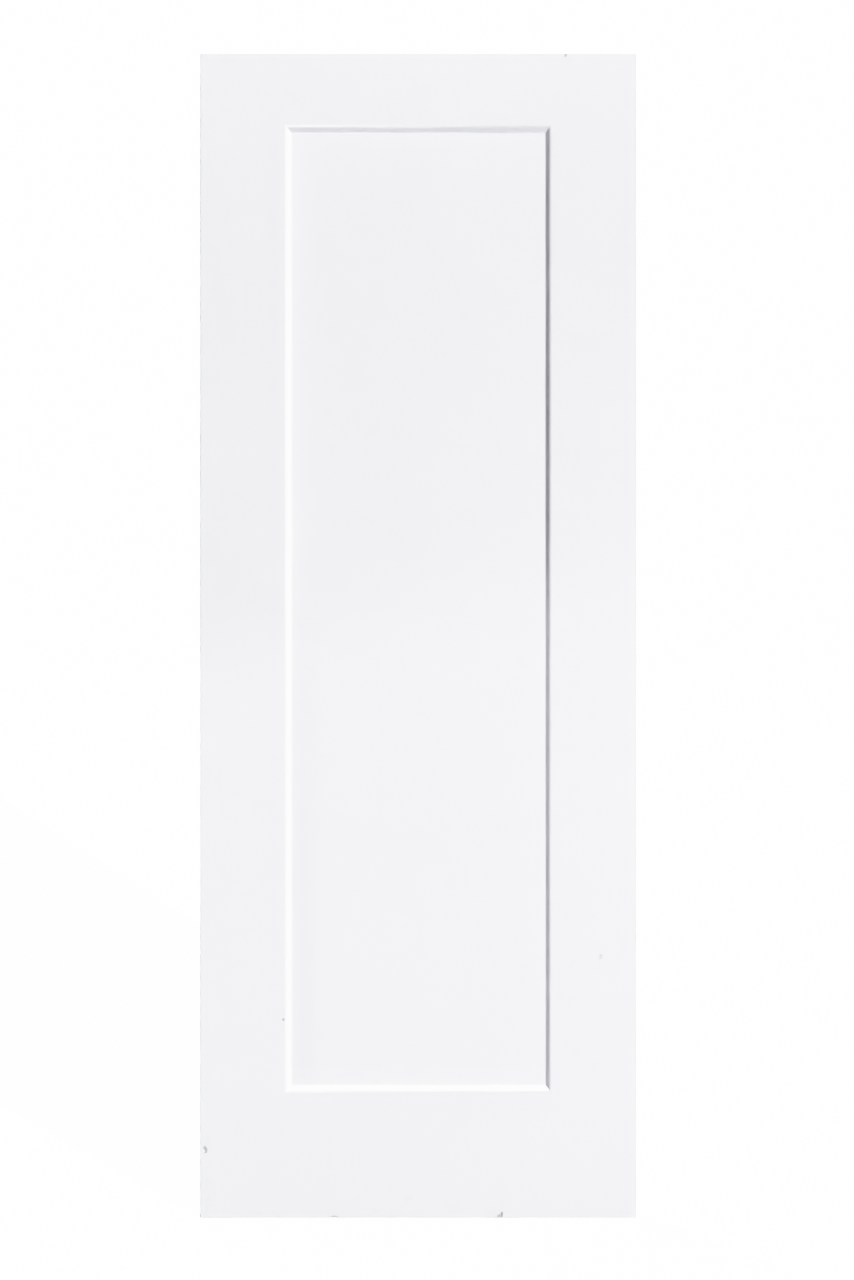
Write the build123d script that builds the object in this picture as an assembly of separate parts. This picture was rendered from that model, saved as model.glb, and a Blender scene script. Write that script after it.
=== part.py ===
from build123d import *
import os
from math import acos, atan2, degrees, hypot, radians, sqrt, tan

# Interior door slab with a hollow core: two moulded fibreboard skins glued over a softwood
# frame, with lock blocks and an expanded kraft paper honeycomb between them.
#
# Millimetres. +Z is up, the front looks along -Y, and the origin lies at the foot of the
# left long edge, in the middle of the thickness.

# Slab
DOOR_WIDTH = 762.0
DOOR_HEIGHT = 2032.0
DOOR_THICKNESS = 35.0

# Moulded skins
SKIN_THICKNESS = 3.2
STILE_FACE = 147.3
TOP_RAIL_FACE = 123.7
BOTTOM_RAIL_FACE = 217.9
STICKING_WIDTH = 12.5
PANEL_DEPTH = 10.2
NOSE_RADIUS = 7.2
COVE_RADIUS = 3.8
ARRIS_RADIUS = 1.2

# Softwood frame
STILE_WIDTH = 28.5
TOP_RAIL_WIDTH = 28.5
BOTTOM_RAIL_WIDTH = 38.0

# Lock blocks, one against each stile
LOCK_BLOCK_LENGTH = 508.0
LOCK_HEIGHT = 914.0
LOCK_BLOCK_SETBACK = 19.0

# Kraft paper honeycomb
CORE_COLUMNS = 18
CORE_CELLS_HIGH = 15
PAPER_THICKNESS = 0.4

# Sizes that follow from the ones above
FRAME_THICKNESS = DOOR_THICKNESS - 2 * SKIN_THICKNESS
FRONT_FACE = -DOOR_THICKNESS / 2
CAVITY_LEFT = STILE_WIDTH
CAVITY_RIGHT = DOOR_WIDTH - STILE_WIDTH
CAVITY_FOOT = BOTTOM_RAIL_WIDTH
CAVITY_HEAD = DOOR_HEIGHT - TOP_RAIL_WIDTH
RECESS_LEFT = STILE_FACE
RECESS_RIGHT = DOOR_WIDTH - STILE_FACE
RECESS_FOOT = BOTTOM_RAIL_FACE
RECESS_HEAD = DOOR_HEIGHT - TOP_RAIL_FACE
LOCK_BLOCK_WIDTH = STILE_FACE - STILE_WIDTH - LOCK_BLOCK_SETBACK
LOCK_BLOCK_FOOT = LOCK_HEIGHT - LOCK_BLOCK_LENGTH / 2
LOCK_BLOCK_HEAD = LOCK_HEIGHT + LOCK_BLOCK_LENGTH / 2
COLUMN_PITCH = (CAVITY_RIGHT - CAVITY_LEFT) / CORE_COLUMNS
CELL_PERIOD = (CAVITY_HEAD - CAVITY_FOOT) / CORE_CELLS_HIGH

# The sticking is an S curve: a nose arc, a straight slope and a cove arc, all tangent. The nose
# is as large as asked for, up to what the width and depth leave room for.
ROOM_FOR_ARCS = (STICKING_WIDTH**2 + PANEL_DEPTH**2) / (2 * PANEL_DEPTH)
NOSE = min(NOSE_RADIUS, 0.95 * ROOM_FOR_ARCS - COVE_RADIUS)
ARCS = NOSE + COVE_RADIUS
ARC_SPAN = hypot(STICKING_WIDTH, ARCS - PANEL_DEPTH)
SLOPE_ANGLE = degrees(atan2(STICKING_WIDTH, ARCS - PANEL_DEPTH) - acos(ARCS / ARC_SPAN))
SLOPE_LENGTH = sqrt(ARC_SPAN**2 - ARCS**2)


def board(left, right, front, back, foot, head):
    """Return a square-edged board between the given planes."""
    middle = Pos((left + right) / 2, (front + back) / 2, (foot + head) / 2)
    return middle * Box(right - left, back - front, head - foot)


def sticking_curve(depth):
    """Return the S curve at a depth below the face, 0 for the side that shows."""
    nose = JernArc(start=(0, depth), tangent=(1, 0), radius=NOSE - depth, arc_size=SLOPE_ANGLE)
    slope = Line(nose @ 1, nose @ 1 + (nose % 1) * SLOPE_LENGTH)
    cove = JernArc(
        start=slope @ 1, tangent=slope % 1, radius=COVE_RADIUS + depth, arc_size=-SLOPE_ANGLE
    )
    return [nose, slope, cove]


def sticking_section():
    """Return the cross-section of the skin through the sticking, even in thickness."""
    face_side = sticking_curve(0)
    glue_side = sticking_curve(SKIN_THICKNESS)
    panel_end = Line(face_side[-1] @ 1, glue_side[-1] @ 1)
    frame_end = Line(glue_side[0] @ 0, face_side[0] @ 0)
    return make_face([*face_side, panel_end, *glue_side, frame_end])


def sticking_length(section, start, end):
    """Run the section from one corner of the recess to the next and mitre both ends."""
    along = (end - start).normalized()
    inward = Vector(0, 1, 0).cross(along)
    station = Plane(origin=start, x_dir=inward, z_dir=inward.cross(Vector(0, 1, 0)))
    length = extrude(station * section, (end - start).length, dir=along)
    start_mitre = Plane(origin=start, x_dir=(0, 1, 0), z_dir=along - inward)
    end_mitre = Plane(origin=end, x_dir=(0, 1, 0), z_dir=-along - inward)
    length = split(length, bisect_by=start_mitre, keep=Keep.TOP)
    return split(length, bisect_by=end_mitre, keep=Keep.TOP)


def make_front_skin():
    """Press the skin: flat margins, the sticking all round, and the sunk flat panel."""
    glue_face = FRONT_FACE + SKIN_THICKNESS
    panel_face = FRONT_FACE + PANEL_DEPTH
    sheet = board(0, DOOR_WIDTH, FRONT_FACE, glue_face, 0, DOOR_HEIGHT)
    long_edges = sheet.edges().filter_by(Axis.Z).group_by(Axis.Y)[0]
    sheet = fillet(long_edges, ARRIS_RADIUS)
    opening = board(RECESS_LEFT, RECESS_RIGHT, FRONT_FACE, glue_face, RECESS_FOOT, RECESS_HEAD)
    panel = board(
        RECESS_LEFT + STICKING_WIDTH,
        RECESS_RIGHT - STICKING_WIDTH,
        panel_face,
        panel_face + SKIN_THICKNESS,
        RECESS_FOOT + STICKING_WIDTH,
        RECESS_HEAD - STICKING_WIDTH,
    )
    corners = [
        Vector(RECESS_LEFT, FRONT_FACE, RECESS_FOOT),
        Vector(RECESS_LEFT, FRONT_FACE, RECESS_HEAD),
        Vector(RECESS_RIGHT, FRONT_FACE, RECESS_HEAD),
        Vector(RECESS_RIGHT, FRONT_FACE, RECESS_FOOT),
    ]
    section = sticking_section()
    turns = zip(corners, corners[1:] + corners[:1])
    sticking = [sticking_length(section, start, end) for start, end in turns]
    return sheet - opening + sticking + panel


def make_pressed_room():
    """Return what the sunk part of the front skin takes out of the core behind it."""
    run_in = STICKING_WIDTH - (COVE_RADIUS + SKIN_THICKNESS) * tan(radians(SLOPE_ANGLE / 2))
    mouth = Plane(
        origin=((RECESS_LEFT + RECESS_RIGHT) / 2, -FRAME_THICKNESS / 2, (RECESS_FOOT + RECESS_HEAD) / 2),
        x_dir=(1, 0, 0),
        z_dir=(0, 1, 0),
    )
    outline = Rectangle(RECESS_RIGHT - RECESS_LEFT, RECESS_HEAD - RECESS_FOOT)
    return extrude(mouth * outline, PANEL_DEPTH, taper=degrees(atan2(run_in, PANEL_DEPTH)))


def make_core_wave(column):
    """Fold one strip of paper into half-hexagons; neighbours are mirror images of each other."""
    near_wall = CAVITY_LEFT + column * COLUMN_PITCH + PAPER_THICKNESS / 2
    far_wall = near_wall + COLUMN_PITCH - PAPER_THICKNESS
    if column % 2:
        near_wall, far_wall = far_wall, near_wall
    flat = CELL_PERIOD / 3
    folds = [(near_wall, CAVITY_FOOT - flat)]
    for cell in range(CORE_CELLS_HIGH):
        foot = CAVITY_FOOT + cell * CELL_PERIOD
        folds.append((near_wall, foot + flat / 2))
        folds.append((far_wall, foot + flat))
        folds.append((far_wall, foot + 2 * flat))
        folds.append((near_wall, foot + 2.5 * flat))
    folds.append((near_wall, CAVITY_HEAD + flat))
    outline = offset(
        Polyline(*folds), amount=PAPER_THICKNESS / 2, kind=Kind.INTERSECTION, side=Side.BOTH
    )
    upright = Plane(origin=(0, 0, 0), x_dir=(1, 0, 0), z_dir=(0, -1, 0))
    return extrude(upright * make_face(outline), FRAME_THICKNESS / 2, both=True)


def make_core_length(wave, column, foot, head):
    """Cut a strip to length and press it down behind the sunk panels."""
    left = CAVITY_LEFT + column * COLUMN_PITCH
    room = board(
        left, left + COLUMN_PITCH, -FRAME_THICKNESS / 2, FRAME_THICKNESS / 2, foot, head
    )
    return room & wave - FRONT_ROOM - BACK_ROOM


front_skin = make_front_skin()
back_skin = mirror(front_skin, about=Plane.XZ)

frame_front = -FRAME_THICKNESS / 2
frame_back = FRAME_THICKNESS / 2
left_stile = board(0, CAVITY_LEFT, frame_front, frame_back, 0, DOOR_HEIGHT)
right_stile = board(CAVITY_RIGHT, DOOR_WIDTH, frame_front, frame_back, 0, DOOR_HEIGHT)
bottom_rail = board(CAVITY_LEFT, CAVITY_RIGHT, frame_front, frame_back, 0, CAVITY_FOOT)
top_rail = board(CAVITY_LEFT, CAVITY_RIGHT, frame_front, frame_back, CAVITY_HEAD, DOOR_HEIGHT)

left_block_edge = CAVITY_LEFT + LOCK_BLOCK_WIDTH
right_block_edge = CAVITY_RIGHT - LOCK_BLOCK_WIDTH
left_lock_block = board(
    CAVITY_LEFT, left_block_edge, frame_front, frame_back, LOCK_BLOCK_FOOT, LOCK_BLOCK_HEAD
)
right_lock_block = board(
    right_block_edge, CAVITY_RIGHT, frame_front, frame_back, LOCK_BLOCK_FOOT, LOCK_BLOCK_HEAD
)

nodes = {
    "front_skin": front_skin,
    "back_skin": back_skin,
    "left_stile": left_stile,
    "right_stile": right_stile,
    "top_rail": top_rail,
    "bottom_rail": bottom_rail,
    "left_lock_block": left_lock_block,
    "right_lock_block": right_lock_block,
}

# Where a lock block stands in the way, a column of the honeycomb is two lengths, one below the
# block and one above it.
FRONT_ROOM = make_pressed_room()
BACK_ROOM = mirror(FRONT_ROOM, about=Plane.XZ)
for column in range(CORE_COLUMNS):
    wave = make_core_wave(column)
    name = f"core_strip_{column + 1:02d}"
    column_left = CAVITY_LEFT + column * COLUMN_PITCH
    column_right = column_left + COLUMN_PITCH
    if column_left < left_block_edge or column_right > right_block_edge:
        nodes[name + "_lower"] = make_core_length(wave, column, CAVITY_FOOT, LOCK_BLOCK_FOOT)
        nodes[name + "_upper"] = make_core_length(wave, column, LOCK_BLOCK_HEAD, CAVITY_HEAD)
    else:
        nodes[name] = make_core_length(wave, column, CAVITY_FOOT, CAVITY_HEAD)

os.makedirs("parts", exist_ok=True)
for name, shape in nodes.items():
    export_step(shape, f"parts/{name}.step")
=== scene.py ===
"""Finish and studio for an interior door slab with a hollow core.

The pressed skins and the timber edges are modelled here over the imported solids, the core keeps
its solids, and every piece gets a procedural finish. Metres, +Z up, the front looks along -Y.
"""

import math
from typing import NamedTuple

import bpy
from bpy.props import FloatProperty, FloatVectorProperty, IntProperty, PointerProperty
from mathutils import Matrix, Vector


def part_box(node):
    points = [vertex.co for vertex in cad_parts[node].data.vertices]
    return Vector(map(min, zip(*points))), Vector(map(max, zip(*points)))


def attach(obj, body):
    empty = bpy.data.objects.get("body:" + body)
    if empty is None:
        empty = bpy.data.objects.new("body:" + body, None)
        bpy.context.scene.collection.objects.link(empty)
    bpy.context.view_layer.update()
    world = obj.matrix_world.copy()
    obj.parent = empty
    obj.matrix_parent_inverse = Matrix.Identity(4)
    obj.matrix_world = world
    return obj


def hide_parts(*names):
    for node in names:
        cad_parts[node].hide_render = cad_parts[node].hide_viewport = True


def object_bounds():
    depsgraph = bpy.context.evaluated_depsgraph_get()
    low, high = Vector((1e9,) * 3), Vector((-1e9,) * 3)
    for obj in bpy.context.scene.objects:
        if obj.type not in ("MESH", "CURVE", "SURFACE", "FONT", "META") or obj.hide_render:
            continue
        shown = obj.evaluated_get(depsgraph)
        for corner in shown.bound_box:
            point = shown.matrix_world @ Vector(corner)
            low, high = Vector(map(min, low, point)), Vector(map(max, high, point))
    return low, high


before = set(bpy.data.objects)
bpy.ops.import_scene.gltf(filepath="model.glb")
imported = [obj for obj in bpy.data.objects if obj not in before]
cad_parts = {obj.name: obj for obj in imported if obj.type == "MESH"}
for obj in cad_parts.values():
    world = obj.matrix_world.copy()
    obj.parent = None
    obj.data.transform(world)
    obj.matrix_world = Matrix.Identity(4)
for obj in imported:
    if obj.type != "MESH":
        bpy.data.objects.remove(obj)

bl_info = {
    "name": "Hollow Core Door",
    "version": (1, 0, 0),
    "blender": (4, 5, 0),
    "location": "View3D > Sidebar > Door",
    "description": "Models the skins and timber edges of a hollow core door slab and lights it",
    "category": "Object",
}

MM = 0.001
CAD_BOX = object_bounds()
SLAB_LOW, SLAB_HIGH = CAD_BOX
SLAB_CENTRE = (SLAB_LOW + SLAB_HIGH) / 2
HALF_WIDTH = (SLAB_HIGH.x - SLAB_LOW.x) / 2
HALF_THICKNESS = (SLAB_HIGH.y - SLAB_LOW.y) / 2
FRONT_FACE = SLAB_LOW.y

# The way a skin faces along Y
FRONT = -1
BACK = 1

# Modelling
HAIRLINE = 0.05 * MM
WELD = 0.001 * MM
FLAT_BESIDE_STICKING = 0.6 * MM
ARRIS_FACETS = 5
EASE_FACETS = 2
SMOOTH_BELOW = math.radians(32)
NORMAL_WEIGHT = 50
BALL_FINENESS = 4
BALL_UNEVENNESS = 0.35
BALL_SMOOTHING = 0.5
BALL_SMOOTHING_ROUNDS = 5

# How squarely a face looks along an axis to count as sawn end, glue side or outer edge
SAWN_END = 0.9
GLUE_SIDE = 0.2
OUTER_EDGE = 0.3


class Mark(NamedTuple):
    """A dent or chip in the front skin: its place, size, depth, turn, unevenness, and how far it is
    greyed, partly as a scuff and partly as painted shade.
    """

    name: str
    across: float
    up: float
    width: float
    height: float
    depth: float
    turn: float
    seed: int
    scuff_and_shade: float


class Smudge(NamedTuple):
    """A faint grey rub on the front: its middle, half sizes and strength."""

    across: float
    up: float
    half_width: float
    half_height: float
    strength: float


class Softbox(NamedTuple):
    """A soft lamp: its place, the place it is turned to, its width, height and power in watts."""

    name: str
    place: tuple
    aim: tuple
    width: float
    height: float
    power: float


# The last column sets how far each mark is greyed: partly a scuff, partly painted shade that darkens
# the dent.
MARKS = (
    Mark("left_edge_nick", 9.1 * MM, 119.6 * MM, 7.4 * MM, 13.4 * MM, 1.0 * MM, -14.0, 3, 0.62),
    Mark("bottom_chip_foot", 521.9 * MM, 3.3 * MM, 5.8 * MM, 7.2 * MM, 2.3 * MM, 38.0, 5, 0.76),
    Mark("bottom_chip_peak", 526.0 * MM, 5.8 * MM, 5.2 * MM, 10.8 * MM, 2.5 * MM, 10.0, 8, 0.78),
    Mark("bottom_wedge", 234.6 * MM, 1.4 * MM, 13.6 * MM, 5.4 * MM, 1.3 * MM, 6.0, 13, 0.36),
    Mark("right_stile_dent", 698.1 * MM, 455.0 * MM, 8.0 * MM, 11.0 * MM, 0.6 * MM, 8.0, 21, 0.22),
    Mark("sticking_dot", 145.2 * MM, 345.8 * MM, 5.0 * MM, 5.4 * MM, 1.0 * MM, 0.0, 34, 0.46),
    Mark("top_edge_nick", 637.6 * MM, 2029.7 * MM, 5.6 * MM, 7.4 * MM, 1.6 * MM, 12.0, 55, 0.54),
)

SMUDGES = (
    Smudge(45.0 * MM, 2018.0 * MM, 9.0 * MM, 13.0 * MM, 0.5),
    Smudge(304.0 * MM, 14.0 * MM, 11.0 * MM, 9.0 * MM, 0.6),
    Smudge(331.0 * MM, 53.0 * MM, 8.0 * MM, 7.0 * MM, 0.45),
    Smudge(362.5 * MM, 32.5 * MM, 13.0 * MM, 12.0 * MM, 0.5),
    Smudge(16.0 * MM, 46.0 * MM, 16.0 * MM, 44.0 * MM, 0.35),
    Smudge(96.0 * MM, 9.0 * MM, 60.0 * MM, 7.0 * MM, 0.4),
    Smudge(14.0 * MM, 137.0 * MM, 9.0 * MM, 16.0 * MM, 0.4),
)

# Finishes
SMUDGE_COVER = 0.14
SPECULAR_LEVEL = 0.35

# Lamps, with places in the slab's own frame
SOFTBOXES = (
    Softbox("top_fill", (0.4, -0.42, 2.38), (0.4, FRONT_FACE, 2.02), 2.0, 0.3, 1.4),
    Softbox("left_face_fill", (0.0, -0.75, 1.3), (0.08, FRONT_FACE, 1.28), 0.4, 0.6, 0.27),
    Softbox("low_right_fill", (1.25, -0.9, 0.6), (0.72, FRONT_FACE, 0.5), 0.5, 0.9, 1.8),
    Softbox("top_edge_strip", (0.38, 0.0, 2.6), (0.38, 0.0, 2.0), 1.3, 0.02, 5.0),
)
BACK_KEY_SHARE = 0.84
EDGE_FILLS = {"right_fill": (1.0, 0.2, 0.25), "left_fill": (-1.0, 0.2, 0.25)}
EDGE_FILL_DISTANCE = 3
EDGE_FILL_SPREAD = math.radians(16)
SKIMMER_PLACE = Vector((-2.5, -0.57, 0.42))
SKIMMER_AIM = Vector((0.6, FRONT_FACE, 0.42))
SKIMMER_RADIUS = 0.12
SKIMMER_BEAM = math.radians(29)
SKIMMER_SOFTNESS = 0.5

# Floor, camera and tone curve
FLOOR_SIZE = 80
FLOOR_GLOW = 0.85
CAMERA_REACH = 200
BRIGHTEST_TONE = 2.0
SHOULDER_POINTS = 13
SHOULDER_STEP = 0.08


def length_property(name, description, default):
    """Return a length in metres."""
    return FloatProperty(name=name, description=description, default=default, unit="LENGTH")


def colour_property(name, description, default):
    """Return a colour with a plain swatch."""
    return FloatVectorProperty(
        name=name, description=description, default=default, subtype="COLOR", min=0.0, max=1.0
    )


class DoorSizes(bpy.types.PropertyGroup):
    """Sizes of the pressed skins and the timber edges."""

    skin_thickness: length_property(
        "Skin thickness", "Thickness of the pressed fibreboard sheet", 3.2 * MM
    )
    stile_face: length_property(
        "Stile face", "Flat margin between a long edge and the sticking", 147.3 * MM
    )
    top_rail_face: length_property("Top rail face", "Flat margin above the panel", 123.7 * MM)
    bottom_rail_face: length_property(
        "Bottom rail face", "Flat margin below the panel", 217.9 * MM
    )
    sticking_width: length_property(
        "Sticking width", "Width of the moulded slope round the panel", 12.5 * MM
    )
    panel_depth: length_property(
        "Panel depth", "How far the flat panel is sunk below the face", 10.2 * MM
    )
    nose_radius: length_property(
        "Nose radius", "Radius of the rolled edge where the face turns down", 7.2 * MM
    )
    cove_radius: length_property(
        "Cove radius", "Radius in the corner where the slope meets the panel", 3.8 * MM
    )
    nose_steps: IntProperty(
        name="Nose steps", description="Facets round the nose", default=10, min=2
    )
    cove_steps: IntProperty(
        name="Cove steps", description="Facets round the cove", default=8, min=2
    )
    arris_radius: length_property(
        "Arris radius", "Sanded rounding along the long edges of the face", 1.2 * MM
    )
    trim_ease: length_property(
        "Trim ease", "Rounding left by the saw and sander along the top and bottom", 0.4 * MM
    )
    timber_ease: length_property(
        "Timber ease",
        "Rounding on the arrises of stiles and rails, which shows as joint lines",
        0.3 * MM,
    )


class DoorFinish(bpy.types.PropertyGroup):
    """Colours of the finishes."""

    primer: colour_property(
        "Primer", "Factory primer on the faces and long edges", (0.752, 0.755, 0.784)
    )
    # The rub grey is also painted inside the dents and chips, partly as a scuff and partly as painted
    # shade.
    rub: colour_property("Rub", "Grey of scuffs and bruised primer", (0.36, 0.365, 0.385))
    fibre: colour_property("Fibre", "Cut fibreboard", (0.2, 0.115, 0.06))
    early_wood: colour_property("Early wood", "Pale wood between the rings", (0.62, 0.42, 0.24))
    late_wood: colour_property("Late wood", "Dark wood of the rings", (0.36, 0.19, 0.085))
    kraft: colour_property("Kraft", "Unbleached paper of the core", (0.33, 0.2, 0.11))
    mottle: FloatProperty(
        name="Mottle",
        description="How uneven the primer's tone is",
        default=0.035,
        min=0.0,
        max=1.0,
        subtype="FACTOR",
    )


class DoorStage(bpy.types.PropertyGroup):
    """Camera, floor and lights."""

    lens: FloatProperty(
        name="Lens", description="Focal length of the camera", default=36.84, subtype="DISTANCE_CAMERA"
    )
    camera_distance: length_property("Camera distance", "From the lens to the front face", 2.286)
    camera_right: length_property(
        "Camera to the right", "How far the camera stands to the right of the slab's middle", 15.3 * MM
    )
    camera_low: length_property(
        "Camera below middle", "How far the camera stands below the slab's middle", 7.2 * MM
    )
    key: FloatProperty(
        name="Key", description="Strength of the lamp in front of the slab", default=22.15
    )
    key_place: FloatVectorProperty(
        name="Key place",
        description="Where the lamp hangs, from the foot of the slab's middle",
        default=(1.28, -1.75, 1.77),
        subtype="TRANSLATION",
        unit="LENGTH",
    )
    key_radius: length_property("Key radius", "Radius of the lamp's globe", 0.35)
    side_fill: FloatProperty(
        name="Side fill", description="Light on each long edge", default=0.7
    )
    low_fill: FloatProperty(
        name="Low fill",
        description="Light skimming the lower half from the left",
        default=92.0,
        unit="POWER",
    )
    ambient: FloatProperty(
        name="Ambient", description="Even light from all round", default=0.078
    )
    white: FloatProperty(
        name="White", description="Brightness of the empty background and floor", default=1.5
    )
    shoulder: FloatProperty(
        name="Shoulder",
        description="Tone above which highlights roll off",
        default=0.8,
        min=0.0,
        max=0.99,
        subtype="FACTOR",
    )


def settings():
    """Return the door's property groups."""
    scene = bpy.context.scene
    return scene.door_sizes, scene.door_finish, scene.door_stage


# Nodes

def feed(tree, socket, value):
    """Link a socket to another one, or set it to a plain value."""
    if isinstance(value, bpy.types.NodeSocket):
        tree.links.new(value, socket)
    else:
        socket.default_value = value


def put(tree, kind, inputs=None, **attributes):
    """Add a node with its attributes and inputs."""
    node = tree.nodes.new(kind)
    for name, value in attributes.items():
        setattr(node, name, value)
    for name, value in (inputs or {}).items():
        feed(tree, node.inputs[name], value)
    return node


def maths(tree, operation, first, second=0.0, third=0.0, clamp=False):
    """Return the result of one sum on up to three values."""
    inputs = {0: first, 1: second, 2: third}
    return put(tree, "ShaderNodeMath", inputs, operation=operation, use_clamp=clamp).outputs[0]


def remap(tree, value, start, end, low=0.0, high=1.0):
    """Return a value eased from one range to another."""
    inputs = {"Value": value, "From Min": start, "From Max": end, "To Min": low, "To Max": high}
    kind = "SMOOTHSTEP"
    return put(tree, "ShaderNodeMapRange", inputs, interpolation_type=kind).outputs["Result"]


def blend(tree, factor, first, second, mode="MIX"):
    """Return a mix of two colours."""
    inputs = {0: factor, 6: first, 7: second}
    return put(tree, "ShaderNodeMix", inputs, data_type="RGBA", blend_type=mode).outputs[2]


def noise(tree, vector, scale, detail=2.0, roughness=0.5):
    """Return noise about a half, with features of one over scale metres."""
    inputs = {"Vector": vector, "Scale": scale, "Detail": detail, "Roughness": roughness}
    return put(tree, "ShaderNodeTexNoise", inputs).outputs["Fac"]


def swing(tree, value, weight):
    """Return noise about a half as a swing about nought, times a weight."""
    return maths(tree, "MULTIPLY", maths(tree, "SUBTRACT", value, 0.5), weight)


def place(tree):
    """Return the place on the slab."""
    return put(tree, "ShaderNodeTexCoord").outputs["Object"]


def stretched(tree, vector, scale, turn=(0.0, 0.0, 0.0), shift=(0.0, 0.0, 0.0)):
    """Return a vector moved, turned and scaled for a pattern."""
    inputs = {"Vector": vector, "Location": shift, "Rotation": turn, "Scale": scale}
    return put(tree, "ShaderNodeMapping", inputs).outputs["Vector"]


def grey(tree, tone):
    """Return a grey of the given tone."""
    return put(tree, "ShaderNodeCombineColor", {0: tone, 1: tone, 2: tone}).outputs[0]


def opaque(colour, share=1.0):
    """Return a colour with full alpha, made lighter or darker by a share."""
    return (*(channel * share for channel in colour[:3]), 1.0)


SOCKETS = {"colour": "NodeSocketColor", "value": "NodeSocketFloat", "vector": "NodeSocketVector"}


def new_group(name, inputs, outputs):
    """Start a shader node group; return its tree, its input sockets and its output node."""
    tree = bpy.data.node_groups.new(name, "ShaderNodeTree")
    for label, kind in inputs.items():
        tree.interface.new_socket(label, in_out="INPUT", socket_type=SOCKETS[kind])
    for label, kind in outputs.items():
        tree.interface.new_socket(label, in_out="OUTPUT", socket_type=SOCKETS[kind])
    entry = tree.nodes.new("NodeGroupInput")
    leave = tree.nodes.new("NodeGroupOutput")
    return tree, entry.outputs, leave


def close_group(tree, leave, results):
    """Link a group's results to its outputs."""
    for name, socket in results.items():
        tree.links.new(socket, leave.inputs[name])


def use_group(tree, group, inputs):
    """Place a node group in a material and return its outputs."""
    return put(tree, "ShaderNodeGroup", inputs, node_tree=bpy.data.node_groups[group]).outputs


# Effects that several finishes share

def make_primer_group():
    """Sprayed primer: a slightly uneven tone and a fine orange peel."""
    tree, given, leave = new_group(
        "Sprayed primer",
        {"Colour": "colour", "Mottle": "value"},
        {"Colour": "colour", "Roughness": "value", "Height": "value"},
    )
    grit_share = 0.25
    roughness_span = 0.14
    least_roughness = 0.5
    spot = place(tree)
    clouds = noise(tree, spot, scale=2.6, detail=3.0)
    patches = noise(tree, spot, scale=24.0, detail=4.0)
    specks = noise(tree, spot, scale=520.0)
    coarse = maths(tree, "ADD", swing(tree, clouds, weight=1.2), swing(tree, patches, weight=0.5))
    unevenness = maths(tree, "ADD", coarse, swing(tree, specks, weight=0.35))
    tone = maths(tree, "MULTIPLY_ADD", unevenness, given["Mottle"], 1.0)
    colour = blend(tree, 1.0, given["Colour"], grey(tree, tone), "MULTIPLY")
    peel = noise(tree, spot, scale=330.0, roughness=0.45)
    grit = noise(tree, spot, scale=1900.0, detail=1.0)
    height = maths(tree, "MULTIPLY_ADD", grit, grit_share, peel)
    roughness = maths(tree, "MULTIPLY_ADD", patches, roughness_span, least_roughness)
    close_group(tree, leave, {"Colour": colour, "Roughness": roughness, "Height": height})


def make_grain_group():
    """Sawn softwood along the vector's Z: rings drawn out into streaks, with fine fibres."""
    tree, given, leave = new_group(
        "Softwood grain",
        {"Vector": "vector", "Early": "colour", "Late": "colour"},
        {"Colour": "colour", "Height": "value"},
    )
    ring_sharpness = 2.2
    ring_weight = 0.75
    ring_relief = 0.4
    along = stretched(tree, given["Vector"], scale=(1.0, 1.0, 0.06))
    rings = put(
        tree,
        "ShaderNodeTexWave",
        {"Vector": along, "Scale": 58.0, "Distortion": 5.5, "Detail": 2.5, "Detail Scale": 0.7},
        wave_type="BANDS",
        bands_direction="DIAGONAL",
        wave_profile="SAW",
    ).outputs["Fac"]
    fibre_way = stretched(tree, given["Vector"], scale=(1.0, 1.0, 0.025))
    fibres = noise(tree, fibre_way, scale=900.0, detail=3.0)
    broad = noise(tree, along, scale=30.0)
    late = maths(tree, "MULTIPLY", maths(tree, "POWER", rings, ring_sharpness), ring_weight)
    late = maths(tree, "ADD", late, swing(tree, fibres, weight=0.5))
    late = maths(tree, "ADD", late, swing(tree, broad, weight=0.5), clamp=True)
    colour = blend(tree, late, given["Early"], given["Late"])
    height = maths(tree, "MULTIPLY_ADD", rings, ring_relief, fibres)
    close_group(tree, leave, {"Colour": colour, "Height": height})


def make_finger_joint_group():
    """Finger joints across a board along Z: the zigzag glue line, and a number for each length."""
    tree, given, leave = new_group(
        "Finger joints",
        {"Spacing": "value", "Shift": "value"},
        {"Line": "value", "Length number": "value"},
    )
    tooth_width = 3.2 * MM
    tooth_slope = 3.4
    axes = put(tree, "ShaderNodeSeparateXYZ", {0: place(tree)}).outputs
    teeth = maths(tree, "PINGPONG", axes["Y"], tooth_width)
    folded = maths(tree, "MULTIPLY_ADD", teeth, tooth_slope, axes["Z"])
    shifted = maths(tree, "ADD", folded, given["Shift"])
    number = maths(tree, "FLOOR", maths(tree, "DIVIDE", shifted, given["Spacing"]))
    within = maths(tree, "FLOORED_MODULO", shifted, given["Spacing"])
    line = remap(tree, within, start=0.2 * MM, end=0.9 * MM, low=1.0, high=0.0)
    close_group(tree, leave, {"Line": line, "Length number": number})


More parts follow.
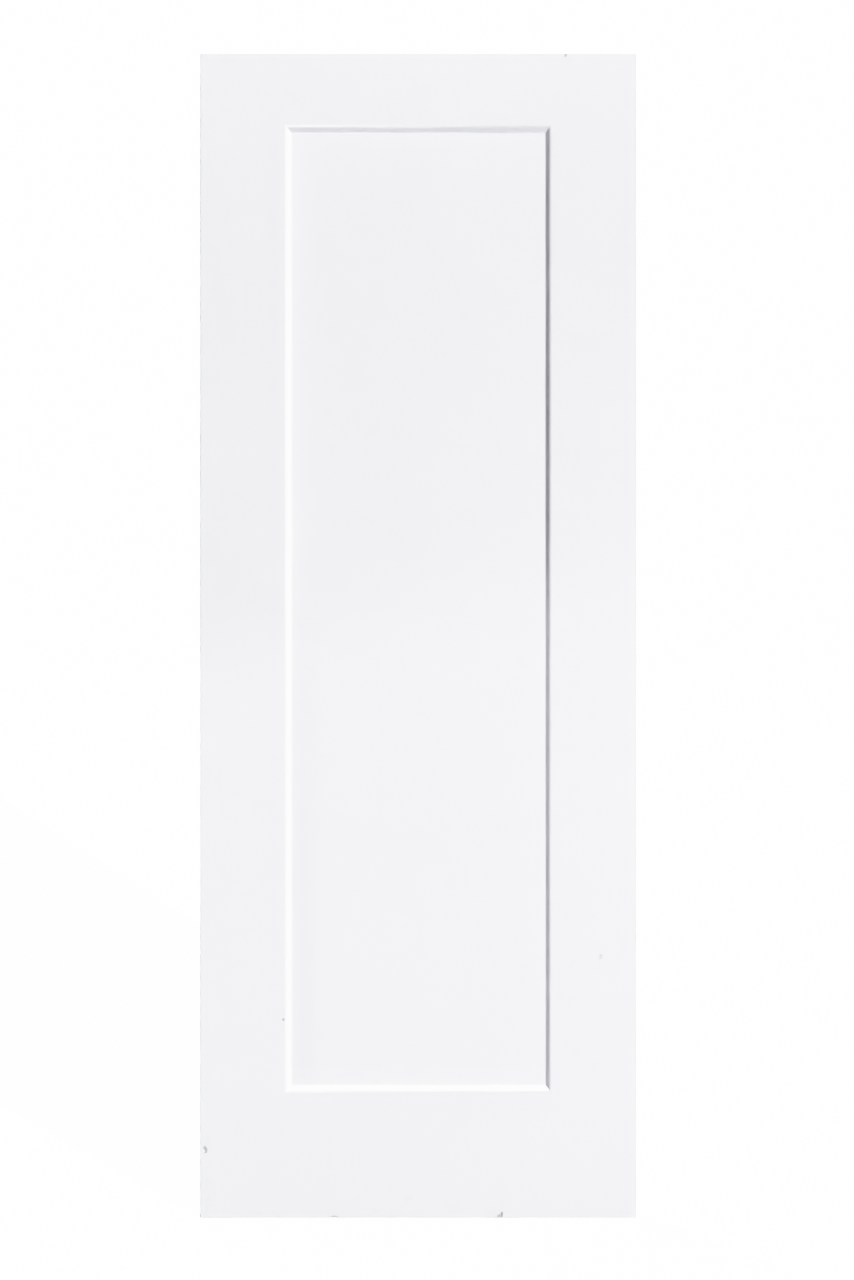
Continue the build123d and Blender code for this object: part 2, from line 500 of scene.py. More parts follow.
def make_overspray_group():
    """Primer that drifted over the bare ends from the faces and long edges."""
    tree, given, leave = new_group("Overspray", {"Reach": "value"}, {"Mask": "value"})
    raggedness = 4.0 * MM
    fade = 1.6 * MM
    spot = place(tree)
    axes = put(tree, "ShaderNodeSeparateXYZ", {0: spot}).outputs
    off_middle = maths(tree, "ABSOLUTE", maths(tree, "SUBTRACT", axes["X"], SLAB_CENTRE.x))
    from_edge = maths(tree, "SUBTRACT", HALF_WIDTH, off_middle)
    from_face = maths(tree, "SUBTRACT", HALF_THICKNESS, maths(tree, "ABSOLUTE", axes["Y"]))
    nearest = maths(tree, "MINIMUM", from_edge, from_face)
    drift = noise(tree, spot, scale=190.0, detail=4.0, roughness=0.65)
    ragged = maths(tree, "MULTIPLY_ADD", drift, raggedness, nearest)
    bare_from = maths(tree, "ADD", given["Reach"], fade)
    mask = remap(tree, ragged, start=given["Reach"], end=bare_from, low=1.0, high=0.0)
    close_group(tree, leave, {"Mask": mask})


def make_groups():
    """Build the effects that several finishes share."""
    make_primer_group()
    make_grain_group()
    make_finger_joint_group()
    make_overspray_group()


# Finishes

def new_material(name):
    """Start a node material; return it, its tree and its shader."""
    material = bpy.data.materials.new(name)
    material.use_nodes = True
    tree = material.node_tree
    return material, tree, tree.nodes["Principled BSDF"]


def finish_surface(tree, shader, colour, roughness, height, relief):
    """Give the shader its colour, roughness and a fine relief."""
    bump = put(tree, "ShaderNodeBump", {"Height": height, "Strength": 1.0, "Distance": relief})
    feed(tree, shader.inputs["Base Color"], colour)
    feed(tree, shader.inputs["Roughness"], roughness)
    feed(tree, shader.inputs["Normal"], bump.outputs["Normal"])
    feed(tree, shader.inputs["Specular IOR Level"], SPECULAR_LEVEL)


def primer_coat(tree, finish):
    """Return the sprayed primer's colour, roughness and height."""
    inputs = {"Colour": opaque(finish.primer), "Mottle": finish.mottle}
    return use_group(tree, "Sprayed primer", inputs)


def oversprayed(tree, finish, colour, reach, cover):
    """Return a colour with primer drifted over it from the rims of the slab."""
    spray = use_group(tree, "Overspray", {"Reach": reach})["Mask"]
    return blend(tree, maths(tree, "MULTIPLY", spray, cover), colour, opaque(finish.primer))


def smudge_mask(tree, spot):
    """Return the mask of the faint rubs on the front."""
    cloudy = remap(tree, noise(tree, spot, scale=130.0, detail=3.0), start=0.3, end=0.7)
    total = None
    for smudge in SMUDGES:
        shape = (1 / smudge.half_width, 0.0, 1 / smudge.half_height)
        shift = (-smudge.across / smudge.half_width, 0.0, -smudge.up / smudge.half_height)
        local = stretched(tree, spot, shape, shift=shift)
        radius = put(tree, "ShaderNodeVectorMath", {0: local}, operation="LENGTH").outputs["Value"]
        rub = remap(tree, radius, start=0.15, end=1.0, low=smudge.strength, high=0.0)
        total = rub if total is None else maths(tree, "MAXIMUM", total, rub)
    return maths(tree, "MULTIPLY", total, cloudy)


def make_skin_primer(finish, name, with_rubs):
    """White primer on a pressed skin, with faint rubs on the front."""
    material, tree, shader = new_material(name)
    coat = primer_coat(tree, finish)
    colour = coat["Colour"]
    if with_rubs:
        rubs = maths(tree, "MULTIPLY", smudge_mask(tree, place(tree)), SMUDGE_COVER)
        colour = blend(tree, rubs, colour, opaque(finish.rub))
    finish_surface(tree, shader, colour, coat["Roughness"], coat["Height"], relief=0.035 * MM)
    return material


def make_dent_scuff_and_shade(finish, name, scuff_and_shade):
    """Crushed primer inside a dent or chip, greyed towards the rub grey: partly a scuff, partly
    painted shade that deepens the dent.
    """
    material, tree, shader = new_material(name)
    least_share = 0.7
    spot = place(tree)
    patches = noise(tree, spot, scale=420.0, detail=4.0)
    # Painted shade: this grey is partly a scuff and partly shade painted in to darken the dent beyond
    # its own shading.
    grey_scuff_and_shade = remap(tree, patches, start=0.25, end=0.6, low=least_share * scuff_and_shade, high=scuff_and_shade)
    colour = blend(tree, grey_scuff_and_shade, primer_coat(tree, finish)["Colour"], opaque(finish.rub))
    fibre_way = stretched(tree, spot, scale=(1.0, 1.0, 0.3))
    fibres = noise(tree, fibre_way, scale=1100.0, detail=3.0)
    finish_surface(tree, shader, colour, roughness=0.7, height=fibres, relief=0.12 * MM)
    return material


def make_fibreboard(finish):
    """Cut edge of a skin: brown pressed fibre with drifts of primer."""
    material, tree, shader = new_material("cut_fibreboard")
    flake_weight = 1.1
    broad_weight = 0.5
    pale_share = 1.7
    spot = place(tree)
    flake_way = stretched(tree, spot, scale=(0.35, 1.6, 1.0))
    flakes = noise(tree, flake_way, scale=650.0, detail=4.0, roughness=0.6)
    broad = noise(tree, spot, scale=40.0, detail=3.0)
    broad_part = maths(tree, "MULTIPLY", broad, broad_weight)
    tone = maths(tree, "ADD", maths(tree, "MULTIPLY", flakes, flake_weight), broad_part)
    paleness = remap(tree, tone, start=0.5, end=1.1)
    brown = blend(tree, paleness, opaque(finish.fibre), opaque(finish.fibre, pale_share))
    colour = oversprayed(tree, finish, brown, reach=2.6 * MM, cover=1.0)
    finish_surface(tree, shader, colour, roughness=0.82, height=flakes, relief=0.12 * MM)
    return material


def jointed_grain(tree, finish, turn, spacing, shift):
    """Return softwood made of finger-jointed lengths, with the glue lines' mask."""
    jump_per_length = 0.173
    joints = use_group(tree, "Finger joints", {"Spacing": spacing, "Shift": shift})
    turned = stretched(tree, place(tree), scale=(1.0, 1.0, 1.0), turn=turn)
    jump = maths(tree, "MULTIPLY", joints["Length number"], jump_per_length)
    offset = put(tree, "ShaderNodeCombineXYZ", {0: jump, 1: jump, 2: jump}).outputs[0]
    vector = put(tree, "ShaderNodeVectorMath", {0: turned, 1: offset}, operation="ADD").outputs[0]
    grain = use_group(
        tree,
        "Softwood grain",
        {"Vector": vector, "Early": opaque(finish.early_wood), "Late": opaque(finish.late_wood)},
    )
    return grain, joints["Line"]


def make_primed_edge(finish):
    """Long edge of a stile: primer with the grain and finger joints showing through faintly."""
    material, tree, shader = new_material("primed_timber_edge")
    ghost_strength = 0.07
    glue_strength = 0.22
    peel_share = 0.4
    grain, line = jointed_grain(tree, finish, turn=(0.0, 0.0, 0.6), spacing=0.462, shift=0.11)
    coat = primer_coat(tree, finish)
    ghost = maths(tree, "MULTIPLY", grain["Height"], ghost_strength)
    colour = blend(tree, ghost, coat["Colour"], grain["Colour"])
    glue = maths(tree, "MULTIPLY", line, glue_strength)
    colour = blend(tree, glue, colour, opaque(finish.late_wood))
    sunk = maths(tree, "SUBTRACT", grain["Height"], line)
    height = maths(tree, "MULTIPLY_ADD", coat["Height"], peel_share, sunk)
    finish_surface(tree, shader, colour, coat["Roughness"], height, relief=0.07 * MM)
    return material


def make_bare_timber(finish, name, turn, joint_shift):
    """Bare sawn softwood with saw marks, and primer drifted over its rims."""
    material, tree, shader = new_material(name)
    glue_strength = 0.5
    saw_share = 0.5
    grain, line = jointed_grain(tree, finish, turn, spacing=0.51, shift=joint_shift)
    saw_way = stretched(tree, place(tree), scale=(1.0, 0.12, 1.0))
    saw = put(
        tree,
        "ShaderNodeTexWave",
        {"Vector": saw_way, "Scale": 210.0, "Distortion": 1.2},
        wave_type="BANDS",
        bands_direction="X",
    ).outputs["Fac"]
    glue = maths(tree, "MULTIPLY", line, glue_strength)
    colour = blend(tree, glue, grain["Colour"], opaque(finish.late_wood))
    colour = oversprayed(tree, finish, colour, reach=4.2 * MM, cover=0.9)
    height = maths(tree, "MULTIPLY_ADD", saw, saw_share, grain["Height"])
    finish_surface(tree, shader, colour, roughness=0.75, height=height, relief=0.1 * MM)
    return material


def make_end_grain(finish):
    """Sawn end of a stile: growth rings cut across, darker than the sides."""
    material, tree, shader = new_material("stile_end_grain")
    ring_sharpness = 1.8
    pore_share = 0.35
    early_share = 0.85
    late_share = 0.7
    spot = place(tree)
    off_heart = stretched(tree, spot, scale=(1.0, 1.0, 0.0), shift=(0.018, 0.047, 0.0))
    rings = put(
        tree,
        "ShaderNodeTexWave",
        {"Vector": off_heart, "Scale": 95.0, "Distortion": 1.6, "Detail": 2.0, "Detail Scale": 1.5},
        wave_type="RINGS",
        rings_direction="Z",
        wave_profile="SAW",
    ).outputs["Fac"]
    pores = noise(tree, spot, scale=1500.0)
    sharp_rings = maths(tree, "POWER", rings, ring_sharpness)
    late = maths(tree, "MULTIPLY_ADD", pores, pore_share, sharp_rings)
    darkness = remap(tree, late, start=0.1, end=1.1)
    early_wood = opaque(finish.early_wood, early_share)
    late_wood = opaque(finish.late_wood, late_share)
    colour = blend(tree, darkness, early_wood, late_wood)
    colour = oversprayed(tree, finish, colour, reach=3.8 * MM, cover=0.85)
    finish_surface(tree, shader, colour, roughness=0.8, height=late, relief=0.1 * MM)
    return material


def make_kraft(finish):
    """Unbleached paper: fine fibres and a cloudy tone."""
    material, tree, shader = new_material("kraft_paper")
    cloud_weight = 0.6
    dark_share = 0.75
    pale_share = 1.4
    spot = place(tree)
    fibre_way = stretched(tree, spot, scale=(1.0, 1.0, 0.2))
    fibres = noise(tree, fibre_way, scale=1400.0, detail=4.0, roughness=0.6)
    clouds = noise(tree, spot, scale=60.0, detail=3.0)
    tone = maths(tree, "MULTIPLY_ADD", clouds, cloud_weight, fibres)
    paleness = remap(tree, tone, start=0.5, end=1.1)
    dark = opaque(finish.kraft, dark_share)
    pale = opaque(finish.kraft, pale_share)
    colour = blend(tree, paleness, dark, pale)
    finish_surface(tree, shader, colour, roughness=0.85, height=fibres, relief=0.05 * MM)
    return material


# Modelling

def deselect_all():
    """Leave no object selected."""
    if bpy.context.mode != "OBJECT":
        bpy.ops.object.mode_set(mode="OBJECT")
    bpy.ops.object.select_all(action="DESELECT")


def pick(piece):
    """Select one piece alone and make it the active one."""
    deselect_all()
    piece.select_set(True)
    bpy.context.view_layer.objects.active = piece


def added(name):
    """Name the primitive just added and return it."""
    piece = bpy.context.active_object
    piece.name = name
    piece.data.name = name
    return piece


def freeze(piece):
    """Put the piece's place, turn and size into its mesh."""
    pick(piece)
    bpy.ops.object.transform_apply(location=True, rotation=True, scale=True)


def clear_selection(kind):
    """Select nothing in the active mesh and choose by faces or by edges."""
    bpy.ops.object.mode_set(mode="EDIT")
    bpy.ops.mesh.select_mode(type=kind)
    bpy.ops.mesh.select_all(action="DESELECT")
    bpy.ops.object.mode_set(mode="OBJECT")


def select_faces(piece, test):
    """Enter edit mode with the faces that pass a test selected."""
    clear_selection("FACE")
    for face in piece.data.polygons:
        face.select = test(face)
    bpy.ops.object.mode_set(mode="EDIT")


def select_edges(piece, test):
    """Enter edit mode with the edges whose two ends pass a test selected."""
    clear_selection("EDGE")
    points = [vertex.co for vertex in piece.data.vertices]
    for edge in piece.data.edges:
        edge.select = all(test(points[index]) for index in edge.vertices)
    bpy.ops.object.mode_set(mode="EDIT")


def cut_across(point, normal):
    """Cut all faces of the mesh in edit mode along a plane."""
    bpy.ops.mesh.select_all(action="SELECT")
    bpy.ops.mesh.bisect(plane_co=point, plane_no=normal)


def apply_modifier(piece, name, kind, **values):
    """Add a modifier and apply it."""
    modifier = piece.modifiers.new(name, kind)
    for key, value in values.items():
        setattr(modifier, key, value)
    bpy.context.view_layer.objects.active = piece
    bpy.ops.object.modifier_apply(modifier=modifier.name)


def shade(piece):
    """Smooth the rounded parts and keep the flats flat."""
    pick(piece)
    bpy.ops.object.shade_smooth_by_angle(angle=SMOOTH_BELOW)
    apply_modifier(
        piece, "Even shading", "WEIGHTED_NORMAL", weight=NORMAL_WEIGHT, keep_sharp=True
    )


def near(value, target):
    """Say whether a place is at a target."""
    return abs(value - target) < HAIRLINE


def face_level(node, facing):
    """Return where along Y the outer face of a skin lies."""
    low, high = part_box(node)
    return low.y if facing == FRONT else high.y


def sticking_steps(sizes):
    """Return the S curve of the sticking as steps inward and down."""
    arcs = sizes.nose_radius + sizes.cove_radius
    span = math.hypot(sizes.sticking_width, arcs - sizes.panel_depth)
    lean = math.atan2(sizes.sticking_width, arcs - sizes.panel_depth) - math.acos(arcs / span)
    run = [0.0]
    drop = [0.0]
    for step in range(1, sizes.nose_steps + 1):
        angle = lean * step / sizes.nose_steps
        run.append(sizes.nose_radius * math.sin(angle))
        drop.append(sizes.nose_radius * (1 - math.cos(angle)))
    for step in range(sizes.cove_steps, -1, -1):
        angle = lean * step / sizes.cove_steps
        run.append(sizes.sticking_width - sizes.cove_radius * math.sin(angle))
        drop.append(sizes.panel_depth - sizes.cove_radius * (1 - math.cos(angle)))
    pairs = zip(zip(run, drop), zip(run[1:], drop[1:]))
    return [(after[0] - before[0], after[1] - before[1]) for before, after in pairs]


def lay_sheet(name, node, facing):
    """Lay a flat sheet over the whole outer face of a skin."""
    low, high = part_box(node)
    middle = (low + high) / 2
    deselect_all()
    bpy.ops.mesh.primitive_plane_add(
        size=1,
        location=(middle.x, face_level(node, facing), middle.z),
        rotation=(-facing * math.pi / 2, 0, 0),
    )
    sheet = added(name)
    sheet.scale = (high.x - low.x, high.z - low.z, 1)
    freeze(sheet)
    return sheet


def press_panel(skin, node, facing, sizes):
    """Press the sticking and the sunk panel into a flat sheet by insets along the S curve."""
    low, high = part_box(node)
    face = face_level(node, facing)
    middle = (low + high) / 2
    left = low.x + sizes.stile_face - FLAT_BESIDE_STICKING
    right = high.x - sizes.stile_face + FLAT_BESIDE_STICKING
    foot = low.z + sizes.bottom_rail_face - FLAT_BESIDE_STICKING
    head = high.z - sizes.top_rail_face + FLAT_BESIDE_STICKING
    bpy.ops.object.mode_set(mode="EDIT")
    for side in (left, right):
        cut_across((side, face, middle.z), (1, 0, 0))
    for level in (foot, head):
        cut_across((middle.x, face, level), (0, 0, 1))
    bpy.ops.object.mode_set(mode="OBJECT")
    select_faces(
        skin, lambda panel: left < panel.center.x < right and foot < panel.center.z < head
    )
    bpy.ops.mesh.inset(thickness=FLAT_BESIDE_STICKING, depth=0)
    for inward, down in sticking_steps(sizes):
        bpy.ops.mesh.inset(thickness=inward, depth=-down)
    bpy.ops.mesh.inset(thickness=FLAT_BESIDE_STICKING, depth=0)
    bpy.ops.object.mode_set(mode="OBJECT")
    sunk = max(abs(vertex.co.y - face) for vertex in skin.data.vertices)
    if not near(sunk, sizes.panel_depth):
        raise RuntimeError(f"{skin.name} was pressed {sunk:.4f} m deep, not {sizes.panel_depth:.4f} m")


def ease_skin(skin, node, facing, sizes):
    """Round the long edges of the face, and ease the sawn top and bottom."""
    low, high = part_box(node)
    face = face_level(node, facing)
    for edge in (low.x, high.x):
        select_edges(skin, lambda point: near(point.x, edge) and near(point.y, face))
        bpy.ops.mesh.bevel(offset=sizes.arris_radius, segments=ARRIS_FACETS, affect="EDGES")
        bpy.ops.object.mode_set(mode="OBJECT")
    glue_side = face - facing * sizes.skin_thickness
    for level in (low.z, high.z):
        select_edges(skin, lambda point: near(point.z, level) and not near(point.y, glue_side))
        bpy.ops.mesh.bevel(offset=sizes.trim_ease, segments=EASE_FACETS, affect="EDGES")
        bpy.ops.mesh.select_all(action="SELECT")
        bpy.ops.mesh.remove_doubles(threshold=WELD)
        bpy.ops.object.mode_set(mode="OBJECT")


def press_skin(name, node, facing, sizes):
    """Model a skin: a flat sheet, the sunk panel, the thickness and the eased edges."""
    skin = lay_sheet(name, node, facing)
    press_panel(skin, node, facing, sizes)
    apply_modifier(
        skin,
        "Sheet",
        "SOLIDIFY",
        thickness=sizes.skin_thickness,
        offset=-1,
        use_even_offset=True,
        use_quality_normals=True,
    )
    ease_skin(skin, node, facing, sizes)
    return skin


def shape_ball(mark, material):
    """Make the uneven ball that strikes a mark."""
    deselect_all()
    bpy.ops.mesh.primitive_ico_sphere_add(
        subdivisions=BALL_FINENESS,
        radius=1,
        location=(mark.across, FRONT_FACE, mark.up),
        rotation=(0, math.radians(mark.turn), 0),
    )
    ball = added("ball")
    ball.data.materials.append(material)
    bpy.ops.object.mode_set(mode="EDIT")
    bpy.ops.mesh.select_all(action="SELECT")
    bpy.ops.transform.vertex_random(offset=BALL_UNEVENNESS, uniform=0, normal=1, seed=mark.seed)
    bpy.ops.mesh.vertices_smooth(factor=BALL_SMOOTHING, repeat=BALL_SMOOTHING_ROUNDS)
    bpy.ops.object.mode_set(mode="OBJECT")
    ball.scale = (mark.width / 2, mark.depth, mark.height / 2)
    freeze(ball)
    return ball


def strike_mark(skin, mark, material):
    """Take a dent or chip out of the face with an uneven ball."""
    faces_before = len(skin.data.polygons)
    ball = shape_ball(mark, material)
    skin.select_set(True)
    apply_modifier(
        skin,
        "Mark",
        "BOOLEAN",
        operation="DIFFERENCE",
        solver="EXACT",
        material_mode="TRANSFER",
        object=ball,
    )
    bpy.data.objects.remove(ball)
    if len(skin.data.polygons) <= faces_before:
        raise RuntimeError(f"The ball left no mark for {mark.name}")


def finish_skin(skin, node, facing):
    """Give the cut ends and the glue side the fibreboard finish, and put the skin in place."""
    low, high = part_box(node)
    fibreboard = skin.data.materials.find("cut_fibreboard")
    for face in skin.data.polygons:
        at_end = near(face.center.z, low.z) or near(face.center.z, high.z)
        sawn = at_end and abs(face.normal.z) > SAWN_END
        if sawn or face.normal.y * facing < -GLUE_SIDE:
            face.material_index = fibreboard
    shade(skin)
    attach(skin, "root")
    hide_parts(node)


def saw_board(name, node, ease):
    """Model a board in its node's place with eased arrises."""
    low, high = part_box(node)
    deselect_all()
    bpy.ops.mesh.primitive_cube_add(size=1, location=(low + high) / 2)
    board = added(name)
    board.scale = high - low
    freeze(board)
    bpy.ops.object.mode_set(mode="EDIT")
    bpy.ops.mesh.select_all(action="SELECT")
    bpy.ops.mesh.bevel(offset=ease, segments=EASE_FACETS, affect="EDGES")
    bpy.ops.object.mode_set(mode="OBJECT")
    return board


def finish_board(board, node):
    """Shade a board and put it in its node's place."""
    shade(board)
    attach(board, "root")
    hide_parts(node)


# Stage

def make_floor_finish(white):
    """Pale floor that glows enough to take only a breath of shadow."""
    material = bpy.data.materials.new("pale_floor")
    material.use_nodes = True
    tree = material.node_tree
    tree.nodes.remove(tree.nodes["Principled BSDF"])
    clouds = noise(tree, place(tree), scale=1.5)
    tone = grey(tree, remap(tree, clouds, start=0.3, end=0.7, low=0.97, high=1.0))
    matt = put(tree, "ShaderNodeBsdfDiffuse", {"Color": tone})
    glow = put(tree, "ShaderNodeEmission", {"Color": tone, "Strength": white})
    inputs = {0: FLOOR_GLOW, 1: matt.outputs[0], 2: glow.outputs[0]}
    mixed = put(tree, "ShaderNodeMixShader", inputs)
    tree.links.new(mixed.outputs[0], tree.nodes["Material Output"].inputs["Surface"])
    return material


def lay_floor(white):
    """Lay a wide pale floor that bounces no light on to the slab."""
    deselect_all()
    bpy.ops.mesh.primitive_plane_add(
        size=FLOOR_SIZE, location=(SLAB_CENTRE.x, SLAB_CENTRE.y, -HAIRLINE)
    )
    floor = added("studio_floor")
    freeze(floor)
    floor.data.materials.append(make_floor_finish(white))
    floor.visible_diffuse = False
    floor.visible_shadow = False


def light_room(stage):
    """Make the background white and the light from all round faint."""
    world = bpy.data.worlds.new("white_room")
    world.use_nodes = True
    tree = world.node_tree
    background = tree.nodes["Background"]
    background.inputs["Color"].default_value = (1.0, 1.0, 1.0, 1.0)
    seen = put(tree, "ShaderNodeLightPath").outputs["Is Camera Ray"]
    inputs = {"Value": seen, "To Min": stage.ambient, "To Max": stage.white}
    strength = put(tree, "ShaderNodeMapRange", inputs).outputs["Result"]
    tree.links.new(strength, background.inputs["Strength"])
    bpy.context.scene.world = world


def hang(kind, name, spot, radius=1.0):
    """Hang a lamp and return it."""
    deselect_all()
    bpy.ops.object.light_add(type=kind, radius=radius, location=spot)
    lamp = bpy.context.active_object
    lamp.name = name
    return lamp


def turn_away(lamp, back):
    """Turn a lamp so that its beam leaves away from the given direction."""
    lamp.rotation_euler = back.to_track_quat("Z", "Y").to_euler()


def even_out(lamp, strength):
    """Let a lamp light a flat wall evenly: its beam grows with the cube of the distance."""
    lamp.use_nodes = True
    tree = lamp.node_tree
    square = put(tree, "ShaderNodeLightFalloff", {"Strength": strength}).outputs["Constant"]
    cube = put(tree, "ShaderNodeLightFalloff", {"Strength": square}).outputs["Linear"]
    tree.links.new(cube, tree.nodes["Emission"].inputs["Strength"])


def hang_keys(stage):
    """Hang a key lamp before each face, the back one turned half round the slab."""
    right, ahead, up = stage.key_place
    for name, side, share in (("front_key", 1, 1.0), ("back_key", -1, BACK_KEY_SHARE)):
        spot = (SLAB_CENTRE.x + side * right, side * ahead, up)
        lamp = hang("POINT", name, spot, stage.key_radius)
        lamp.data.energy = 1.0
        even_out(lamp.data, stage.key * share)


def hang_edge_fills(stage):
    """Light each long edge from its own side."""
    for name, source in EDGE_FILLS.items():
        lamp = hang("SUN", name, SLAB_CENTRE + Vector(source) * EDGE_FILL_DISTANCE)
        turn_away(lamp, Vector(source))
        lamp.data.energy = stage.side_fill
        lamp.data.angle = EDGE_FILL_SPREAD


def hang_softboxes():
    """Hang the soft lamps that even out the face and light the bare top."""
    for box in SOFTBOXES:
        lamp = hang("AREA", box.name, box.place)
        turn_away(lamp, Vector(box.place) - Vector(box.aim))
        lamp.data.shape = "RECTANGLE"
        lamp.data.size = box.width
        lamp.data.size_y = box.height
        lamp.data.energy = box.power


def hang_skimmer(stage):
    """Skim the lower half of the front skin, and nothing else, from the left."""
    lamp = hang("SPOT", "low_left_fill", SKIMMER_PLACE, SKIMMER_RADIUS)
    turn_away(lamp, SKIMMER_PLACE - SKIMMER_AIM)
    lamp.data.energy = stage.low_fill
    lamp.data.spot_size = SKIMMER_BEAM
    lamp.data.spot_blend = SKIMMER_SOFTNESS
    skimmed = bpy.data.collections.new("skimmed_by_low_left_fill")
    skimmed.objects.link(bpy.data.objects["front_skin_pressed"])
    lamp.light_linking.receiver_collection = skimmed


def set_camera(stage):
    """Stand the camera square in front of the slab, as in the photograph."""
    deselect_all()
    bpy.ops.object.camera_add(
        location=(
            SLAB_CENTRE.x + stage.camera_right,
            FRONT_FACE - stage.camera_distance,
            SLAB_CENTRE.z - stage.camera_low,
        ),
        rotation=(math.pi / 2, 0, 0),
    )
    camera = bpy.context.active_object
    camera.name = "square_camera"
    camera.data.lens = stage.lens
    camera.data.clip_end = CAMERA_REACH
    bpy.context.scene.camera = camera


def roll_off_highlights(shoulder):
    """Shape the view like a camera's tone curve: straight, then a soft shoulder up to white."""
    view = bpy.context.scene.view_settings
    view.view_transform = "Standard"
    view.use_curve_mapping = True
    mapping = view.curve_mapping
    mapping.white_level = (BRIGHTEST_TONE, BRIGHTEST_TONE, BRIGHTEST_TONE)
    points = mapping.curves[3].points
    points[0].location = (0.0, 0.0)
    points[0].handle_type = "VECTOR"
    points[1].location = (1.0, 1.0)
    room = 1.0 - shoulder
    for step in range(SHOULDER_POINTS):
        tone = shoulder + SHOULDER_STEP * step
        shown = shoulder + room * (1.0 - math.exp((shoulder - tone) / room))
        point = points.new(tone / BRIGHTEST_TONE, shown)
        point.handle_type = "VECTOR" if step == 0 else "AUTO"
    mapping.update()


# Operators

class DOOR_OT_shared_finishes(bpy.types.Operator):
    """Build the effects and finishes that several pieces share"""

    bl_idname = "door.shared_finishes"
    bl_label = "Shared Finishes"

    def execute(self, context):
        _, finish, _ = settings()
        make_groups()
        make_fibreboard(finish)
        return {"FINISHED"}


class DOOR_OT_front_skin(bpy.types.Operator):
    """Model the front skin with its dents, chips and rubs"""

    bl_idname = "door.front_skin"
    bl_label = "Front Skin"

    def execute(self, context):
        sizes, finish, _ = settings()
        skin = press_skin("front_skin_pressed", "front_skin", FRONT, sizes)
        skin.data.materials.append(make_skin_primer(finish, "front_primer", with_rubs=True))
        skin.data.materials.append(bpy.data.materials["cut_fibreboard"])
        for mark in MARKS:
            strike_mark(skin, mark, make_dent_scuff_and_shade(finish, mark.name, mark.scuff_and_shade))
        finish_skin(skin, "front_skin", FRONT)
        return {"FINISHED"}


class DOOR_OT_back_skin(bpy.types.Operator):
    """Model the back skin, pressed like the front"""

    bl_idname = "door.back_skin"
    bl_label = "Back Skin"

    def execute(self, context):
        sizes, finish, _ = settings()
        skin = press_skin("back_skin_pressed", "back_skin", BACK, sizes)
        skin.data.materials.append(make_skin_primer(finish, "back_primer", with_rubs=False))
        skin.data.materials.append(bpy.data.materials["cut_fibreboard"])
        finish_skin(skin, "back_skin", BACK)
        return {"FINISHED"}


class DOOR_OT_stiles(bpy.types.Operator):
    """Model the two stiles: primed long edges and bare sawn ends"""

    bl_idname = "door.stiles"
    bl_label = "Stiles"

    def execute(self, context):
        sizes, finish, _ = settings()
        primed = make_primed_edge(finish)
        bare = make_bare_timber(finish, "stile_bare_side", turn=(0.0, 0.0, 0.4), joint_shift=0.2)
        ends = make_end_grain(finish)
        for node, outward in (("left_stile", -1), ("right_stile", 1)):
            board = saw_board(node + "_board", node, sizes.timber_ease)
            for material in (primed, bare, ends):
                board.data.materials.append(material)
            for face in board.data.polygons:
                if abs(face.normal.z) > SAWN_END:
                    face.material_index = board.data.materials.find(ends.name)
                elif face.normal.x * outward < OUTER_EDGE:
                    face.material_index = board.data.materials.find(bare.name)
            finish_board(board, node)
        return {"FINISHED"}


class DOOR_OT_rails(bpy.types.Operator):
    """Model the top and bottom rails in bare softwood"""

    bl_idname = "door.rails"
    bl_label = "Rails"

    def execute(self, context):
        sizes, finish, _ = settings()
        along_rail = (0.0, math.pi / 2, 0.35)
        for node, joint_shift in (("top_rail", 0.31), ("bottom_rail", 0.07)):
            board = saw_board(node + "_board", node, sizes.timber_ease)
            softwood = make_bare_timber(finish, node + "_softwood", along_rail, joint_shift)
            board.data.materials.append(softwood)
            finish_board(board, node)
        return {"FINISHED"}


class DOOR_OT_core(bpy.types.Operator):
    """Finish the lock blocks and the paper core between the skins"""

    bl_idname = "door.core"
    bl_label = "Core"

    def execute(self, context):
        _, finish, _ = settings()
        kraft = make_kraft(finish)
        block = make_bare_timber(finish, "lock_block_softwood", turn=(0.0, 0.0, 1.1), joint_shift=0.4)
        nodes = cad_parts
        strips = [nodes[name] for name in nodes if name.startswith("core_strip")]
        blocks = [nodes[name] for name in nodes if name.endswith("lock_block")]
        if not strips or not blocks:
            raise RuntimeError("The packed model lacks the paper core or the lock blocks")
        for pieces, material in ((strips, kraft), (blocks, block)):
            for piece in pieces:
                piece.data.materials.clear()
                piece.data.materials.append(material)
        return {"FINISHED"}


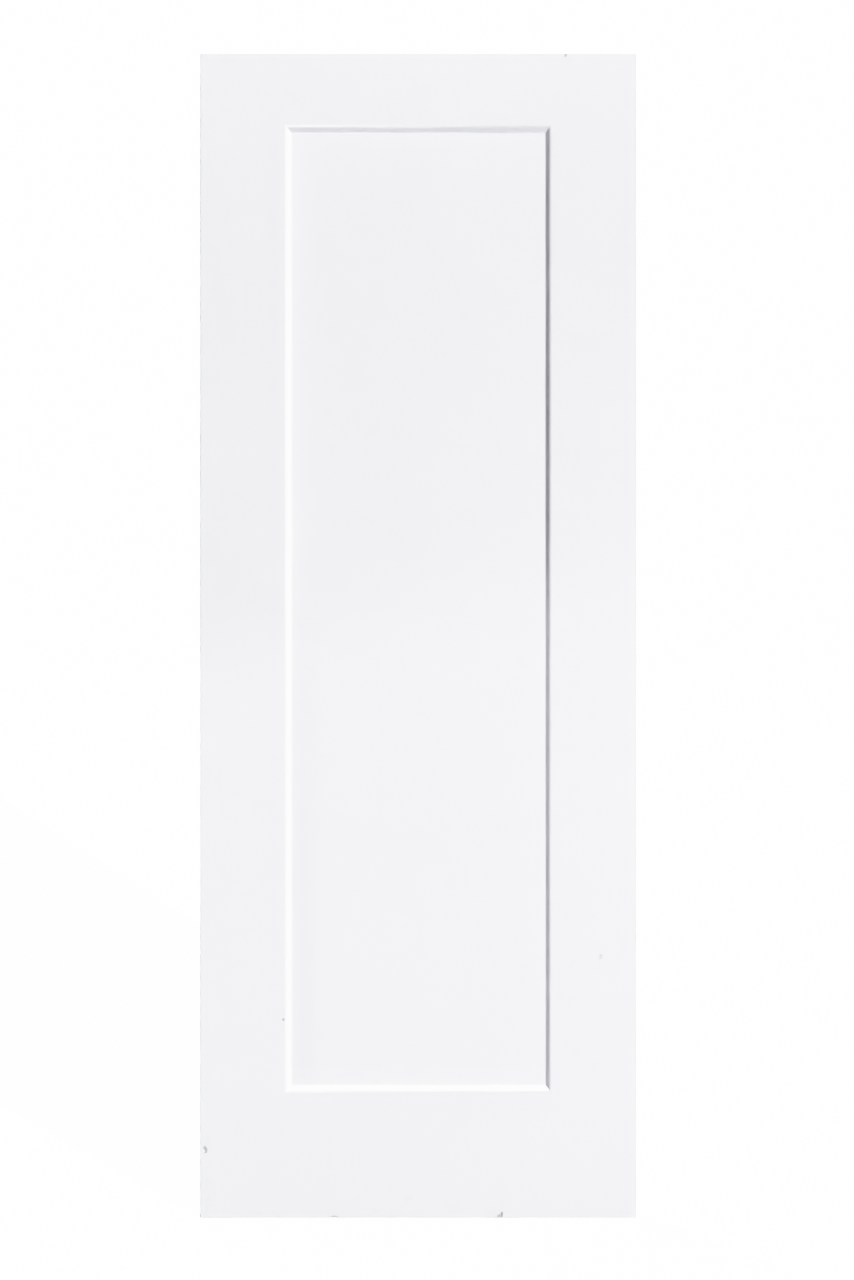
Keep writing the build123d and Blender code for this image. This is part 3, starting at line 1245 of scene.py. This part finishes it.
class DOOR_OT_stage(bpy.types.Operator):
    """Set up the floor, the lights and the camera"""

    bl_idname = "door.stage"
    bl_label = "Stage"

    def execute(self, context):
        _, _, stage = settings()
        lay_floor(stage.white)
        light_room(stage)
        hang_keys(stage)
        hang_edge_fills(stage)
        hang_softboxes()
        hang_skimmer(stage)
        set_camera(stage)
        roll_off_highlights(stage.shoulder)
        return {"FINISHED"}


STEPS = (
    DOOR_OT_shared_finishes,
    DOOR_OT_front_skin,
    DOOR_OT_back_skin,
    DOOR_OT_stiles,
    DOOR_OT_rails,
    DOOR_OT_core,
    DOOR_OT_stage,
)
GROUPS = (DoorSizes, DoorFinish, DoorStage)


class DOOR_PT_build(bpy.types.Panel):
    """Door operators, sizes, colours and stage in the sidebar"""

    bl_idname = "DOOR_PT_build"
    bl_label = "Hollow Core Door"
    bl_space_type = "VIEW_3D"
    bl_region_type = "UI"
    bl_category = "Door"

    def draw(self, context):
        for step in STEPS:
            self.layout.operator(step.bl_idname)
        for group in settings():
            box = self.layout.box()
            for name in group.bl_rna.properties.keys():
                if name not in {"rna_type", "name"}:
                    box.prop(group, name)


def register():
    """Register the groups, the operators and the panel."""
    for kind in (*GROUPS, *STEPS, DOOR_PT_build):
        bpy.utils.register_class(kind)
    bpy.types.Scene.door_sizes = PointerProperty(type=DoorSizes)
    bpy.types.Scene.door_finish = PointerProperty(type=DoorFinish)
    bpy.types.Scene.door_stage = PointerProperty(type=DoorStage)


def unregister():
    """Take everything out again."""
    del bpy.types.Scene.door_stage
    del bpy.types.Scene.door_finish
    del bpy.types.Scene.door_sizes
    for kind in reversed((*GROUPS, *STEPS, DOOR_PT_build)):
        bpy.utils.unregister_class(kind)


def main():
    """Build every piece and the stage."""
    register()
    bpy.ops.door.shared_finishes()
    bpy.ops.door.front_skin()
    bpy.ops.door.back_skin()
    bpy.ops.door.stiles()
    bpy.ops.door.rails()
    bpy.ops.door.core()
    bpy.ops.door.stage()
    deselect_all()


if __name__ == "__main__":
    main()
